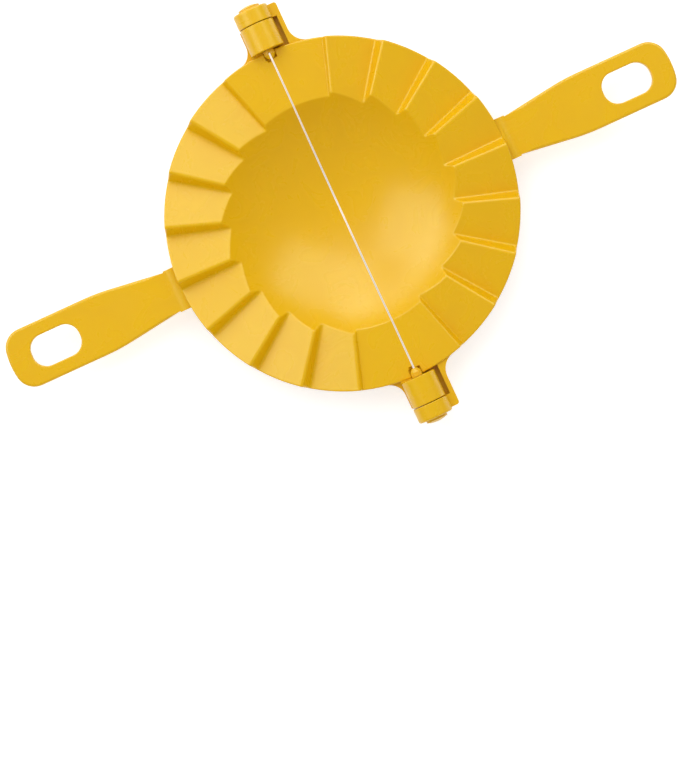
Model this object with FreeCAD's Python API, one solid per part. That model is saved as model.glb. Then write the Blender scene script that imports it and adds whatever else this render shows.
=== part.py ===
import FreeCAD, Part
import math
import os

# Empanada press, lying open and flat on the floors of its bowls, as it is laid out for filling.
# +X runs along the handles, +Y along the hinge line and +Z up. The origin is on the surface that
# the press stands on, under the middle of the disc. Heights in this script are measured from the
# hinge axis, and every solid is lifted to its place when it is written. Lengths are in mm.
#
# The disc is built once, as the half on the +X side. The other half is the same moulding turned
# half a turn about Z, which is what makes its crimps fall into the gaps between these when it folds.

Vector = FreeCAD.Vector
along_x = Vector(1, 0, 0)
along_y = Vector(0, 1, 0)
along_z = Vector(0, 0, 1)
centre = Vector(0, 0, 0)

# Disc: the crimped rim and the skirt that hangs from its edge
rim_radius = 76.2
rim_wall = 2.6
rim_round = 0.6
skirt_depth = 10.0
skirt_wall = 2.2
split_gap = 0.8

# Bowl: a round hollow of even wall, with a small flat under it to stand on
bowl_edge_radius = 50.4
bowl_sphere_radius = 67.8
bowl_wall = 2.6
bowl_edge_round = 0.8
foot_radius = 12.0

# Crimps: ramps that fall from one step to the next, with a flat land at each end of the hinge line
crimp_count = 10
crimp_step = 6.7
crimp_step_angle = 2.4
crimp_step_shift = 0.5
crimp_foot_round = 1.0
crimp_crest_round = 1.3
dough_gap = 1.6
land_drop = 0.3
land_overrun_angle = 8.0
fan_start_share = 0.9

# Handles: a neck, a taper and a straight grip, one after the other from the rim outwards
neck_length = 4.3
neck_proud = 0.5
neck_rise = 1.1
neck_scoop = 3.4
taper_length = 36.0
taper_width = 18.0
taper_radius = 90.0
grip_length = 39.5
handle_width = 26.1
handle_thickness = 4.6
handle_corner_radius = 8.5
handle_end_radius = 34.0
handle_top_round = 1.2
handle_bottom_round = 0.8
slot_inset = 21.2
slot_length = 22.2
slot_width = 14.0
slot_end_flat = 1.3
slot_round = 0.6

# Hinge: at each end the tongue's knuckle turns between the rim and the fork's knuckle
tongue_knuckle_radius = 7.6
tongue_knuckle_length = 12.0
fork_knuckle_radius = 7.8
fork_knuckle_length = 6.7
knuckle_round = 0.3
fork_end_round = 0.9
rim_gap = 0.5
knuckle_gap = 0.3
arm_gap = 2.0
arm_thickness = 2.0
arm_drop = 1.4
arm_inset = 1.0
arm_corner_round = 1.2
arm_flare_radius = 8.0
cradle_gap = 0.5
cradle_depth = 1.6
gusset_proud = 0.4
gusset_drop = 3.5
gusset_flare_radius = 7.2

# Hinge pins: pressed into the fork, running in the tongue, with a split snap end towards the bowl
pin_radius = 2.1
pin_press = 0.02
pin_running_gap = 0.06
pin_head_radius = 4.8
pin_head_edge = 1.0
pin_head_dome = 1.0
snap_radius = 2.45
snap_length = 3.6
snap_tip_radius = 1.3
snap_end_gap = 0.2
snap_slot_width = 0.8
snap_slot_depth = 2.6
trough_gap = 0.25
trough_wall = 2.0

# How far a cutting shape runs past what it cuts
overrun = 5.0

# Levels and places that follow from the sizes above
crimp_pitch = 180 / crimp_count
crimp_middle = -dough_gap / 2
crimp_high = crimp_middle + crimp_step / 2
crimp_low = crimp_middle - crimp_step / 2
land_level = -land_drop
bowl_centre_height = land_level + math.sqrt(bowl_sphere_radius**2 - bowl_edge_radius**2)
dome_radius = bowl_sphere_radius + bowl_wall
foot_level = bowl_centre_height - math.sqrt(dome_radius**2 - foot_radius**2)
axis_height = -foot_level
handle_top = handle_thickness - skirt_depth
root_reach = rim_radius - skirt_wall / 2
neck_reach = rim_radius + neck_length
taper_reach = neck_reach + taper_length
handle_reach = taper_reach + grip_length
slot_centre_reach = handle_reach - slot_inset
slot_corner_radius = (slot_width - slot_end_flat) / 2
tongue_start = rim_radius + rim_gap
tongue_end = tongue_start + tongue_knuckle_length
fork_start = tongue_end + knuckle_gap
fork_end = fork_start + fork_knuckle_length
arm_inside = tongue_knuckle_radius + arm_gap
arm_outside = arm_inside + arm_thickness
arm_end = fork_end - arm_inset
cradle_top = cradle_depth - fork_knuckle_radius
gusset_outside = tongue_knuckle_radius + gusset_proud
trough_radius = snap_radius + trough_gap
snap_base = tongue_start - snap_end_gap
snap_tip = snap_base - snap_length


def block(low, high):
    """Box between two opposite corners."""
    low, high = Vector(*low), Vector(*high)
    size = high - low
    return Part.makeBox(size.x, size.y, size.z, low)


def rod(radius, start, end):
    """Cylinder about the hinge axis, from one place along it to another."""
    return Part.makeCylinder(radius, end - start, along_y * start, along_y)


def polygon(points):
    return Part.Face(Part.makePolygon(points + [points[0]]))


def both_ends(shape):
    """The shape and its mirror image at the other end of the hinge line."""
    return shape.fuse(shape.mirror(centre, along_y))


def runs_where(edge, test):
    """Whether the test holds at both ends and in the middle of an edge."""
    first, last = edge.FirstParameter, edge.LastParameter
    return all(test(edge.valueAt(place)) for place in (first, (first + last) / 2, last))


# Crimped face of the rim


def crimp_steps():
    """The rim's steps on the +X side: angle from the +Y end, and levels of foot and crest at its edge."""
    # Each step stands a little past its even place, so that the closed steps leave room for the dough
    steps = []
    for number in range(1, crimp_count):
        foot = land_level if number == 1 else crimp_low
        crest = land_level if number == crimp_count - 1 else crimp_high
        steps.append((number * crimp_pitch + crimp_step_shift, foot, crest))
    return steps


def crimp_lines():
    """The rim's radial lines on the +X side: angle from the +Y end, and level at the rim's edge."""
    lines = [(-land_overrun_angle, land_level)]
    for angle, foot, crest in crimp_steps():
        half_width = crimp_step_angle / 2 * (crest - foot) / crimp_step
        lines += [(angle - half_width, foot), (angle + half_width, crest)]
    return lines + [(180 + land_overrun_angle, land_level)]


def crimp_point(angle, edge_level, radius, drop):
    """A point of the crimped face: every radial line of it runs to one point on the disc's axis."""
    level = crimp_middle + (edge_level - crimp_middle) * radius / rim_radius - drop
    turn = math.radians(angle)
    return Vector(radius * math.sin(turn), radius * math.cos(turn), level)


def crimp_fan(inside, drop, flat_level):
    """Solid between the crimped face, lowered by a drop, and a flat level, from a radius outwards."""
    outside = rim_radius + overrun
    inner = [crimp_point(angle, level, inside, drop) for angle, level in crimp_lines()]
    outer = [crimp_point(angle, level, outside, drop) for angle, level in crimp_lines()]

    def flat(points):
        return [Vector(point.x, point.y, flat_level) for point in points]

    faces = []
    for start in range(len(inner) - 1):
        near, far = inner[start : start + 2], outer[start : start + 2]
        faces.append(polygon(near + far[::-1]))
        faces.append(polygon(near + flat(near)[::-1]))
        faces.append(polygon(far + flat(far)[::-1]))
    for near, far in ((inner[0], outer[0]), (inner[-1], outer[-1])):
        faces.append(polygon([near, far] + flat([far, near])))
    faces.append(polygon(flat(outer) + flat(inner)[::-1]))
    return Part.makeSolid(Part.makeShell(faces)).removeSplitter()


def soft_crimp_fan():
    """The solid over the crimped face, with every step rounded at its crest and at its foot."""
    flat_level = crimp_high + overrun

    def step_edges(solid, step_angle, side):
        """Radial edges of the crimped face just past a step (side 1) or just before it (side -1)."""
        found = []
        for edge in solid.Edges:
            ends = [vertex.Point for vertex in edge.Vertexes]
            spans = abs(math.hypot(*ends[0][:2]) - math.hypot(*ends[1][:2])) > rim_radius - bowl_edge_radius
            past_step = math.degrees(math.atan2(ends[0].x, ends[0].y)) - step_angle
            on_face = max(end.z for end in ends) < flat_level - overrun / 2
            if spans and on_face and 0 < past_step * side < crimp_pitch / 2:
                found.append(edge)
        return found

    fan = crimp_fan(bowl_edge_radius * fan_start_share, 0, flat_level)
    for angle, foot, crest in crimp_steps():
        fan = fan.makeFillet(crimp_crest_round, step_edges(fan, angle, 1))
    for angle, foot, crest in crimp_steps():
        # The foot of a lower step has less room for its round
        foot_round = crimp_foot_round * (crest - foot) / crimp_step
        fan = fan.makeFillet(foot_round, step_edges(fan, angle, -1))
    return fan


# Half of the disc, on the +X side


def dish():
    """Bowl, crimped rim and skirt of one half."""
    top = crimp_high + overrun
    bottom = foot_level - overrun
    bowl_centre = along_z * bowl_centre_height
    side = 2 * rim_radius
    half_space = block((split_gap / 2, -side, bottom), (side, side, top))

    blank_top = crimp_high + rim_wall
    disc = Part.makeCylinder(rim_radius, skirt_depth + blank_top, along_z * -skirt_depth)
    dome = Part.makeSphere(dome_radius, bowl_centre)
    below_disc = block((-side, -side, foot_level), (side, side, overrun - skirt_depth))
    solid = disc.fuse(dome.common(below_disc)).common(half_space)

    channel = Part.makeCylinder(rim_radius - skirt_wall, top - bottom, along_z * bottom)
    channel = channel.common(crimp_fan(foot_radius, rim_wall, bottom)).cut(dome)
    bowl = Part.makeSphere(bowl_sphere_radius, bowl_centre)
    return soften_dish(solid.cut(channel).cut(bowl).cut(soft_crimp_fan()), bowl_centre)


def soften_dish(solid, bowl_centre):
    """Rounds the rim's outer edge and the bowl's edge."""
    slack = rim_round / 100

    def above_skirt(point):
        return point.z > crimp_low - rim_wall / 2 and point.x > split_gap / 2 + slack

    def on_rim(point):
        return abs(math.hypot(point.x, point.y) - rim_radius) < slack

    def on_bowl(point):
        return abs((point - bowl_centre).Length - bowl_sphere_radius) < slack

    def is_rim_edge(edge):
        ends = [vertex.Point for vertex in edge.Vertexes]
        goes_round = math.hypot(ends[0].x - ends[-1].x, ends[0].y - ends[-1].y) > slack
        return goes_round and runs_where(edge, on_rim) and above_skirt(edge.CenterOfMass)

    def is_bowl_edge(edge):
        return runs_where(edge, on_bowl) and above_skirt(edge.CenterOfMass)

    solid = solid.makeFillet(rim_round, [edge for edge in solid.Edges if is_rim_edge(edge)])
    return solid.makeFillet(bowl_edge_round, [edge for edge in solid.Edges if is_bowl_edge(edge)])


# Handle, on the +X side


def rounded_rectangle(length, width, radius, level):
    """Flat face about the middle of the slot's place on the handle's centreline."""
    half_length, half_width = length / 2 - radius, width / 2 - radius
    corners = [(1, 1), (-1, 1), (-1, -1), (1, -1)]
    edges, last = [], None
    for number, (right, back) in enumerate(corners):
        middle = Vector(slot_centre_reach + right * half_length, back * half_width, level)
        start, end = math.pi / 2 * number, math.pi / 2 * (number + 1)
        arc = Part.ArcOfCircle(Part.Circle(middle, along_z, radius), start, end).toShape()
        if last is not None:
            edges.append(Part.makeLine(last, arc.Vertexes[0].Point))
        edges.append(arc)
        last = arc.Vertexes[-1].Point
    edges.append(Part.makeLine(last, edges[0].Vertexes[0].Point))
    return Part.Face(Part.Wire(edges))


def handle_side(level):
    """One long edge of the handle, from its root to the middle of its end."""
    half_width, half_taper = handle_width / 2, taper_width / 2
    root = Vector(root_reach, half_taper, level)
    throat = Vector(neck_reach, half_taper, level)
    shoulder = Vector(taper_reach, half_width, level)
    shoulder_centre = shoulder - along_y * taper_radius
    away = throat - shoulder_centre
    turn = math.atan2(away.y, away.x) - math.acos(taper_radius / away.Length)
    touch = shoulder_centre + Vector(math.cos(turn), math.sin(turn), 0) * taper_radius
    halfway = (turn + math.pi / 2) / 2
    crest = shoulder_centre + Vector(math.cos(halfway), math.sin(halfway), 0) * taper_radius
    tip = Vector(handle_reach, 0, level)
    end_centre = tip - along_x * handle_end_radius
    corner_y, corner_swing = half_width - handle_corner_radius, handle_end_radius - handle_corner_radius
    end_turn = math.asin(corner_y / corner_swing)
    corner_centre = end_centre + Vector(math.cos(end_turn), math.sin(end_turn), 0) * corner_swing

    def on_corner(turn):
        return corner_centre + Vector(math.cos(turn), math.sin(turn), 0) * handle_corner_radius

    end_middle = end_centre + Vector(math.cos(end_turn / 2), math.sin(end_turn / 2), 0) * handle_end_radius
    corner_start, corner_end = on_corner(math.pi / 2), on_corner(end_turn)
    return [
        Part.makeLine(root, throat),
        Part.makeLine(throat, touch),
        Part.Arc(touch, crest, shoulder).toShape(),
        Part.makeLine(shoulder, corner_start),
        Part.Arc(corner_start, on_corner((end_turn + math.pi / 2) / 2), corner_end).toShape(),
        Part.Arc(corner_end, end_middle, tip).toShape(),
    ]


def neck():
    """Root of the handle, a little wider, whose raised top scoops down into the handle's."""
    half_width, crown = taper_width / 2 + neck_proud, handle_top + neck_rise
    scoop_radius = (neck_scoop**2 + neck_rise**2) / (2 * neck_rise)
    halfway = math.asin(neck_scoop / scoop_radius) / 2

    def scoop_point(turn):
        return Vector(
            neck_reach - scoop_radius * math.sin(turn),
            -half_width,
            handle_top + scoop_radius * (1 - math.cos(turn)),
        )

    low_root, high_root = (Vector(root_reach, -half_width, level) for level in (-skirt_depth, crown))
    low_end, high_end = Vector(neck_reach, -half_width, -skirt_depth), scoop_point(0)
    crest = scoop_point(2 * halfway)
    edges = [
        Part.makeLine(low_root, low_end),
        Part.makeLine(low_end, high_end),
        Part.Arc(high_end, scoop_point(halfway), crest).toShape(),
        Part.makeLine(crest, high_root),
        Part.makeLine(high_root, low_root),
    ]
    return Part.Face(Part.Wire(edges)).extrude(along_y * half_width * 2)


def handle():
    """Flat handle with its hanging slot, and the neck that joins it to the skirt."""
    one_side = handle_side(-skirt_depth)
    other_side = [edge.mirror(centre, along_y) for edge in one_side]
    root = Vector(root_reach, taper_width / 2, -skirt_depth)
    closing = Part.makeLine(Vector(root.x, -root.y, root.z), root)
    outline = Part.Wire(Part.__sortEdges__(one_side + other_side + [closing]))
    plate = Part.Face(outline).extrude(along_z * handle_thickness)

    def round_edges(solid, level, radius):
        edges = [
            edge
            for edge in solid.Edges
            if runs_where(edge, lambda point: abs(point.z - level) < radius / 100)
            and edge.CenterOfMass.x > neck_reach
        ]
        return solid.makeFillet(radius, edges)

    plate = round_edges(plate, handle_top, handle_top_round)
    plate = round_edges(plate, -skirt_depth, handle_bottom_round)
    slot = rounded_rectangle(slot_length, slot_width, slot_corner_radius, -skirt_depth - overrun)
    plate = plate.cut(slot.extrude(along_z * (handle_thickness + 2 * overrun)))

    def is_slot_edge(edge):
        middle = edge.CenterOfMass
        in_length = abs(middle.x - slot_centre_reach) < slot_length / 2 + slot_round
        in_width = abs(middle.y) < slot_width / 2 + slot_round
        direction = edge.tangentAt(edge.FirstParameter)
        upright = abs(direction.z) > math.hypot(direction.x, direction.y)
        return in_length and in_width and not upright

    plate = plate.makeFillet(slot_round, [edge for edge in plate.Edges if is_slot_edge(edge)])
    return plate.fuse(neck()).removeSplitter()


# Hinge, at the +Y end: the fork is on the +X side and the tongue on the -X side


def flare(side, face, radius, bottom, top):
    """Web that curves from a face at the hinge into the rim's round edge. The side is 1 or -1."""
    centre_x = face + radius
    centre_y = math.sqrt((rim_radius + radius) ** 2 - centre_x**2)
    share = rim_radius / (rim_radius + radius)
    touch = Vector(centre_x * share, centre_y * share, bottom)
    inside = Vector(face, math.sqrt((rim_radius - skirt_wall / 2) ** 2 - centre_x**2), bottom)
    foot = Vector(touch.x, inside.y, bottom)
    end = Vector(face, centre_y, bottom)
    bend_centre = Vector(centre_x, centre_y, bottom)
    bend = bend_centre + ((touch + end) / 2 - bend_centre).normalize() * radius
    edges = [
        Part.makeLine(inside, foot),
        Part.makeLine(foot, touch),
        Part.Arc(touch, bend, end).toShape(),
        Part.makeLine(end, inside),
    ]
    web = Part.Face(Part.Wire(edges)).extrude(along_z * (top - bottom))
    return web if side > 0 else web.mirror(centre, along_x)


def soft_knuckle(radius, start, end, outer_round):
    """Knuckle with its two round edges softened, the outer one with a round of its own."""
    knuckle = rod(radius, start, end)

    def rim_at(place):
        return [
            edge
            for edge in knuckle.Edges
            if len(edge.Vertexes) == 1 and abs(edge.Vertexes[0].Y - place) < knuckle_round / 2
        ]

    knuckle = knuckle.makeFillet(outer_round, rim_at(end))
    return knuckle.makeFillet(knuckle_round, rim_at(start))


def fork_end_pieces():
    """Arm, saddle, cradle, floor and outer knuckle of the fork at one end."""
    bottom = -skirt_depth
    root = math.sqrt((rim_radius - skirt_wall / 2) ** 2 - arm_outside**2)
    arm = block((arm_inside, root, bottom), (arm_outside, arm_end, -arm_drop))
    saddle = block((0, fork_start, bottom), (arm_outside, arm_end, -arm_drop))
    cradle_inside = math.sqrt((tongue_knuckle_radius + cradle_gap) ** 2 - cradle_top**2)
    cradle = block((cradle_inside, root, bottom), (arm_outside, fork_start, cradle_top))
    floor_top = -tongue_knuckle_radius - cradle_gap
    floor = block((split_gap / 2, root, bottom), (arm_outside, fork_start, floor_top))
    yoke = arm.fuse([saddle, cradle, floor]).removeSplitter()
    corner = Vector(arm_outside, arm_end, (bottom - arm_drop) / 2)
    corner_edges = [edge for edge in yoke.Edges if (edge.CenterOfMass - corner).Length < arm_corner_round]
    yoke = yoke.makeFillet(arm_corner_round, corner_edges)
    knuckle = soft_knuckle(fork_knuckle_radius, fork_start, fork_end, fork_end_round)
    web = flare(1, arm_outside, arm_flare_radius, bottom, -arm_drop)
    return yoke.fuse([knuckle, web])


def tongue_end_pieces():
    """Gusset, root and inner knuckle of the tongue at one end."""
    bottom = -tongue_knuckle_radius
    inside = math.sqrt((rim_radius - skirt_wall / 2) ** 2 - gusset_outside**2)
    edge = -split_gap / 2
    gusset_end, root_end = tongue_end - knuckle_round, tongue_start + knuckle_round
    gusset = block((-gusset_outside, inside, bottom), (edge, gusset_end, -gusset_drop))
    root = block((-tongue_knuckle_radius, inside, bottom), (edge, root_end, land_level - rim_round))
    knuckle = soft_knuckle(tongue_knuckle_radius, tongue_start, tongue_end, knuckle_round)
    web = flare(-1, gusset_outside, gusset_flare_radius, bottom, -gusset_drop)
    return gusset.fuse([root, knuckle, web])


def trough_floor(side):
    """Thickened rim under the pin's snap end, on one side of the split."""
    reach = trough_radius + trough_wall
    low = (split_gap / 2, snap_tip - trough_gap - trough_wall, -reach)
    high = (reach, root_reach, land_level - rim_wall / 2)
    floor = block(low, high)
    return floor if side > 0 else floor.mirror(centre, along_x)


def trough_cut():
    """Room for the pin's snap end in the rims."""
    return rod(trough_radius, snap_tip - trough_gap, tongue_start)


# Pieces


def fork_half(moulding):
    solid = moulding.fuse([both_ends(fork_end_pieces()), both_ends(trough_floor(1))])
    solid = solid.cut(both_ends(trough_cut()))
    bore = rod(pin_radius - pin_press, fork_start - overrun, fork_end + overrun)
    return solid.cut(both_ends(bore)).removeSplitter()


def tongue_half(moulding):
    solid = moulding.fuse([both_ends(tongue_end_pieces()), both_ends(trough_floor(-1))])
    solid = solid.cut(both_ends(trough_cut()))
    bore = rod(pin_radius + pin_running_gap, tongue_start - overrun, tongue_end + overrun)
    return solid.cut(both_ends(bore)).removeSplitter()


def hinge_pin(slot_turn):
    """Pin for the +Y end. The slot across its snap end is turned about the pin's own line."""
    head_top = fork_end + pin_head_edge + pin_head_dome
    head_curve = (pin_head_radius**2 + pin_head_dome**2) / (2 * pin_head_dome)
    halfway = math.asin(pin_head_radius / head_curve) / 2
    dip = head_curve * (1 - math.cos(halfway))
    head_middle = Vector(head_curve * math.sin(halfway), head_top - dip, 0)
    snap_bend = snap_tip + snap_length / 2
    points = [
        Vector(0, snap_tip, 0),
        Vector(snap_tip_radius, snap_tip, 0),
        Vector(snap_radius, snap_bend, 0),
        Vector(snap_radius, snap_base, 0),
        Vector(pin_radius, snap_base, 0),
        Vector(pin_radius, fork_end, 0),
        Vector(pin_head_radius, fork_end, 0),
        Vector(pin_head_radius, fork_end + pin_head_edge, 0),
    ]
    top = Vector(0, head_top, 0)
    edges = [Part.makeLine(start, end) for start, end in zip(points, points[1:])]
    edges.append(Part.Arc(points[-1], head_middle, top).toShape())
    edges.append(Part.makeLine(top, points[0]))
    pin = Part.Face(Part.Wire(edges)).revolve(centre, along_y, 360)
    half_slot = snap_slot_width / 2
    slot_low = (-half_slot, snap_tip - overrun, -overrun)
    slot = block(slot_low, (half_slot, snap_tip + snap_slot_depth, overrun))
    slot.rotate(centre, along_y, slot_turn)
    return pin.cut(slot)


def write(name, solid):
    """Lifts a solid from the hinge axis to its place over the ground and writes it."""
    solid.translate(along_z * axis_height)
    solid.exportStep(os.path.join("parts", name + ".step"))
    print(name, "valid", solid.isValid(), "solids", len(solid.Solids), "volume", round(solid.Volume, 1))


os.makedirs("parts", exist_ok=True)
right_moulding = dish().fuse(handle())
left_moulding = right_moulding.copy()
left_moulding.rotate(centre, along_z, 180)
write("fork_half", fork_half(right_moulding))
write("tongue_half", tongue_half(left_moulding))
write("hinge_pin_rear", hinge_pin(0))
write("hinge_pin_front", hinge_pin(90).mirror(centre, along_y))
print("hinge axis height", round(axis_height, 3))
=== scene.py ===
# Empanada press, lying open and flat, seen from above. The moulded halves and their pins come from
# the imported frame; this file gives them their plastic, and sets the floor, the light and the camera.
import math

import bmesh
import bpy
from mathutils import Matrix, Vector

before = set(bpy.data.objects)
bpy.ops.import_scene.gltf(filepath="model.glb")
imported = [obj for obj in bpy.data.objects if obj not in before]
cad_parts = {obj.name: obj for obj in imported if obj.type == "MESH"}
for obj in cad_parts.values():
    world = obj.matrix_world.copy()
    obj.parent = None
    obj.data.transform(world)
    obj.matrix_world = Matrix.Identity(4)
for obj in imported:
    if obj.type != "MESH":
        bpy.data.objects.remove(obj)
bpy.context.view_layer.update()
print("frame loaded:", sorted(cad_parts))

mm = 0.001
white = (1, 1, 1, 1)


def newMaterial(name):
    material = bpy.data.materials.new(name)
    material.use_nodes = True
    material.node_tree.nodes.clear()
    return material, material.node_tree


def addNode(tree, kind, **settings):
    node = tree.nodes.new(kind)
    for name, value in settings.items():
        setattr(node, name, value)
    return node


def setInputs(node, **values):
    for name, value in values.items():
        node.inputs[name.replace("_", " ")].default_value = value


def colour(red, green, blue):
    # A colour as read off a screen, 0 to 255, made linear for the shader
    linear = []
    for part in (red, green, blue):
        share = part / 255
        linear.append(share / 12.92 if share < 0.04045 else ((share + 0.055) / 1.055) ** 2.4)
    return (*linear, 1)


# Moulded plastic

plastic = {
    "body": colour(239, 188, 4),  # mustard yellow
    "deep": colour(236, 183, 2),  # where the pigment flowed thicker
    "patches": {"size": 60 * mm, "detail": 3, "roughness": 0.55},  # slow drift in colour
    "streaks": {"size": 14 * mm, "detail": 4, "roughness": 0.6, "bend": 0.8},  # flow lines
    "grain": {"size": 0.5 * mm, "detail": 2, "roughness": 0.6},  # fine satin of the mould
    "grainHeight": 0.005 * mm,
    "waves": {"size": 10 * mm, "detail": 1, "roughness": 0.4},  # as moulded sheets have
    "waveHeight": 0.015 * mm,
    "tintRange": (0.12, 0.42),  # patches times streaks, from body to deep
    "glossRange": (0.3, 0.7),  # streaks, from the smoother to the rougher
    "roughness": (0.25, 0.31),
    "depth": 1.0 * mm,  # how far light goes into the plastic
    "depthColour": (1, 0.6, 0.15),  # red light goes furthest
    "depthShare": 0.1,
    "refraction": 1.49,
}


def addNoise(tree, place, size, detail, roughness, bend=0):
    noise = addNode(tree, "ShaderNodeTexNoise")
    setInputs(noise, Scale=1 / size, Detail=detail, Roughness=roughness, Distortion=bend)
    tree.links.new(place, noise.inputs["Vector"])
    return noise.outputs["Fac"]


def addBump(tree, heights, height):
    bump = addNode(tree, "ShaderNodeBump")
    setInputs(bump, Strength=1, Distance=height)
    tree.links.new(heights, bump.inputs["Height"])
    return bump


def mouldedPlastic(name, settings):
    material, tree = newMaterial(name)
    link = tree.links.new
    place = addNode(tree, "ShaderNodeTexCoord").outputs["Object"]

    # Colour: slow patches, and thinner flow lines over them
    patches = addNoise(tree, place, **settings["patches"])
    streaks = addNoise(tree, place, **settings["streaks"])
    blend = addNode(tree, "ShaderNodeMath", operation="MULTIPLY")
    link(patches, blend.inputs[0])
    link(streaks, blend.inputs[1])
    spread = addNode(tree, "ShaderNodeMapRange")
    least, most = settings["tintRange"]
    setInputs(spread, From_Min=least, From_Max=most)
    link(blend.outputs[0], spread.inputs["Value"])
    tint = addNode(tree, "ShaderNodeMix", data_type="RGBA")
    setInputs(tint, A=settings["body"], B=settings["deep"])
    link(spread.outputs["Result"], tint.inputs["Factor"])

    # Finish: the gloss follows the flow lines, and fine grain lies on slow waves
    gloss = addNode(tree, "ShaderNodeMapRange")
    least, most = settings["glossRange"]
    low, high = settings["roughness"]
    setInputs(gloss, From_Min=least, From_Max=most, To_Min=low, To_Max=high)
    link(streaks, gloss.inputs["Value"])
    waveBump = addBump(tree, addNoise(tree, place, **settings["waves"]), settings["waveHeight"])
    grainBump = addBump(tree, addNoise(tree, place, **settings["grain"]), settings["grainHeight"])
    link(waveBump.outputs["Normal"], grainBump.inputs["Normal"])

    shader = addNode(tree, "ShaderNodeBsdfPrincipled")
    setInputs(
        shader,
        Subsurface_Weight=settings["depthShare"],
        Subsurface_Scale=settings["depth"],
        Subsurface_Radius=settings["depthColour"],
        IOR=settings["refraction"],
    )
    link(tint.outputs["Result"], shader.inputs["Base Color"])
    link(gloss.outputs["Result"], shader.inputs["Roughness"])
    link(grainBump.outputs["Normal"], shader.inputs["Normal"])
    output = addNode(tree, "ShaderNodeOutputMaterial")
    link(shader.outputs["BSDF"], output.inputs["Surface"])
    return material


def dress(node, material):
    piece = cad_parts[node]
    for slot in piece.material_slots:
        slot.material = material


pinFinish = {"roughness": (0.3, 0.36), "waveHeight": 0.005 * mm}  # duller and flatter, being so small
bodyPlastic = mouldedPlastic("mouldedYellow", plastic)
pinPlastic = mouldedPlastic("pinYellow", {**plastic, **pinFinish})
for node in ("fork_half", "tongue_half"):
    dress(node, bodyPlastic)
for node in ("hinge_pin_rear", "hinge_pin_front"):
    dress(node, pinPlastic)
print("plastic given to", len(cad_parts), "pieces")

# Floor

floorPlan = {
    "size": 6,
    "colour": (0.86, 0.86, 0.86, 1),
    "glow": 0.52,  # added to how it looks, so that it is white and the shadow on it faint
}


def makeFloor():
    mesh = bpy.data.meshes.new("floor")
    shape = bmesh.new()
    bmesh.ops.create_grid(shape, x_segments=1, y_segments=1, size=floorPlan["size"] / 2)
    shape.to_mesh(mesh)
    shape.free()
    floor = bpy.data.objects.new("floor", mesh)
    bpy.context.scene.collection.objects.link(floor)
    material, tree = newMaterial("paleFloor")
    link = tree.links.new
    matte = addNode(tree, "ShaderNodeBsdfDiffuse")
    setInputs(matte, Color=floorPlan["colour"])
    glow = addNode(tree, "ShaderNodeEmission")
    setInputs(glow, Color=white, Strength=floorPlan["glow"])
    both = addNode(tree, "ShaderNodeAddShader")
    link(matte.outputs[0], both.inputs[0])
    link(glow.outputs[0], both.inputs[1])

    # The glow shows to the camera and in mirrors and glass, and lights nothing
    rays = addNode(tree, "ShaderNodeLightPath")
    seen = addNode(tree, "ShaderNodeMath", operation="MAXIMUM")
    link(rays.outputs["Is Camera Ray"], seen.inputs[0])
    link(rays.outputs["Is Glossy Ray"], seen.inputs[1])
    seenThrough = addNode(tree, "ShaderNodeMath", operation="MAXIMUM")
    link(seen.outputs[0], seenThrough.inputs[0])
    link(rays.outputs["Is Transmission Ray"], seenThrough.inputs[1])
    choice = addNode(tree, "ShaderNodeMixShader")
    link(seenThrough.outputs[0], choice.inputs["Fac"])
    link(matte.outputs[0], choice.inputs[1])
    link(both.outputs[0], choice.inputs[2])
    output = addNode(tree, "ShaderNodeOutputMaterial")
    link(choice.outputs[0], output.inputs["Surface"])
    mesh.materials.append(material)


makeFloor()
print("floor laid")

# Light

# Soft boxes, each given by its bearing from +X and its height over the floor, in degrees, and by its
# distance in metres. The shining ones only show as reflections, and the key only lights the press.
lightPlan = {
    "shine": {
        "rightBox": {"bearing": 52, "height": 38, "distance": 1.2, "size": (1.5, 1), "power": 12},
        "leftBox": {"bearing": 144, "height": 38, "distance": 1.2, "size": (1, 1), "power": 8.5},
        "lowBox": {"bearing": 108, "height": 18, "distance": 1.3, "size": (2.4, 0.5), "power": 9},
    },
    "shineColour": (0.72, 1, 0.84),  # a little green, for the lemon yellow of the highlights
    "light": {
        "keyBox": {"bearing": 95, "height": 52, "distance": 1.2, "size": (1.2, 1.2), "power": 7.6},
    },
    "fill": 0.69,  # the bare studio all round, as it lights the press
    "fillShine": 0,  # and as the plastic mirrors it, where only the boxes show
}


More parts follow.
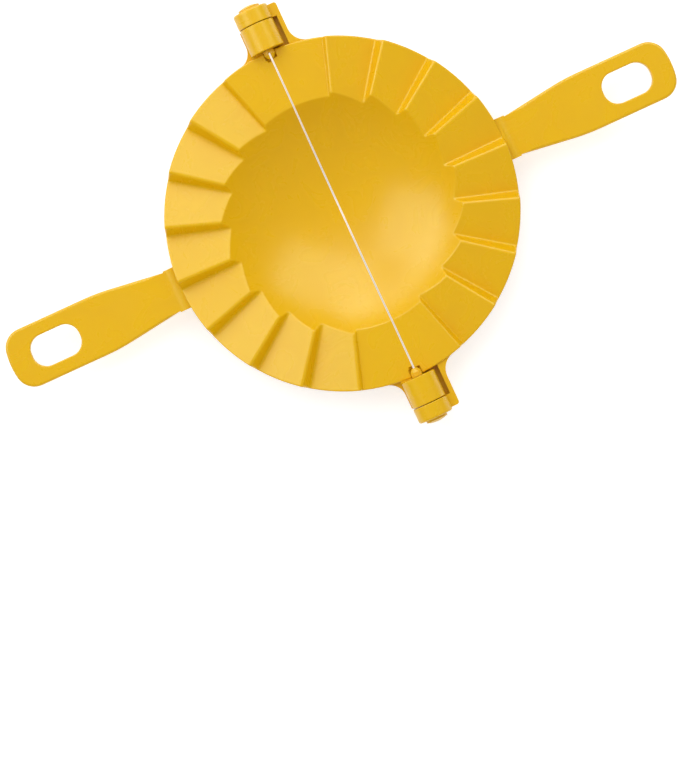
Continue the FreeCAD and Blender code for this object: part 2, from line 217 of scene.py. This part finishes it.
def softBox(name, bearing, height, distance, size, power):
    data = bpy.data.lights.new(name, "AREA")
    data.shape = "RECTANGLE"
    data.size, data.size_y = size
    data.energy = power
    light = bpy.data.objects.new(name, data)
    swing, rise = math.radians(bearing), math.radians(height)
    away = Vector((math.cos(swing) * math.cos(rise), math.sin(swing) * math.cos(rise), math.sin(rise)))
    light.location = away * distance
    light.rotation_mode = "QUATERNION"
    light.rotation_quaternion = (-away).to_track_quat("-Z", "Y")
    bpy.context.scene.collection.objects.link(light)
    return light


for name, settings in lightPlan["shine"].items():
    shine = softBox(name, **settings)
    shine.visible_diffuse = False
    shine.data.color = lightPlan["shineColour"]
for name, settings in lightPlan["light"].items():
    softBox(name, **settings).visible_glossy = False


def makeStudio(fill, fillShine):
    world = bpy.data.worlds.new("studio")
    bpy.context.scene.world = world
    world.use_nodes = True
    tree = world.node_tree
    rays = addNode(tree, "ShaderNodeLightPath")
    level = addNode(tree, "ShaderNodeMapRange")
    setInputs(level, To_Min=fill, To_Max=fillShine)
    tree.links.new(rays.outputs["Is Glossy Ray"], level.inputs["Value"])
    background = tree.nodes["Background"]
    setInputs(background, Color=white)
    tree.links.new(level.outputs["Result"], background.inputs["Strength"])


makeStudio(lightPlan["fill"], lightPlan["fillShine"])
print("lights set")

# Camera: over the press, looking almost straight down, its picture cut from one side of the lens's view

cameraPlan = {
    "place": (-0.01586, -0.04081, 1.46097),
    "aim": (0.050, 0.003, 0.0243),
    "turn": -24.745,  # degrees, from +Y being up in the picture
    "lens": 158.54,
    "sensor": 36,
    "shift": (-0.13883, -0.29306),
    "nearest": 0.01,
    "furthest": 20,
}


def makeCamera():
    data = bpy.data.cameras.new("camera")
    data.lens = cameraPlan["lens"]
    data.sensor_width = cameraPlan["sensor"]
    data.shift_x, data.shift_y = cameraPlan["shift"]
    data.clip_start, data.clip_end = cameraPlan["nearest"], cameraPlan["furthest"]
    camera = bpy.data.objects.new("camera", data)
    look = Vector(cameraPlan["aim"]) - Vector(cameraPlan["place"])
    back = -look.normalized()
    right = Vector((0, 1, 0)).cross(back).normalized()
    up = back.cross(right)
    level = Matrix((right, up, back)).transposed()
    turned = level @ Matrix.Rotation(math.radians(cameraPlan["turn"]), 3, "Z")
    camera.matrix_world = Matrix.Translation(cameraPlan["place"]) @ turned.to_4x4()
    bpy.context.scene.collection.objects.link(camera)
    bpy.context.scene.camera = camera


makeCamera()
bpy.context.scene.view_settings.view_transform = "Standard"
print("camera placed")
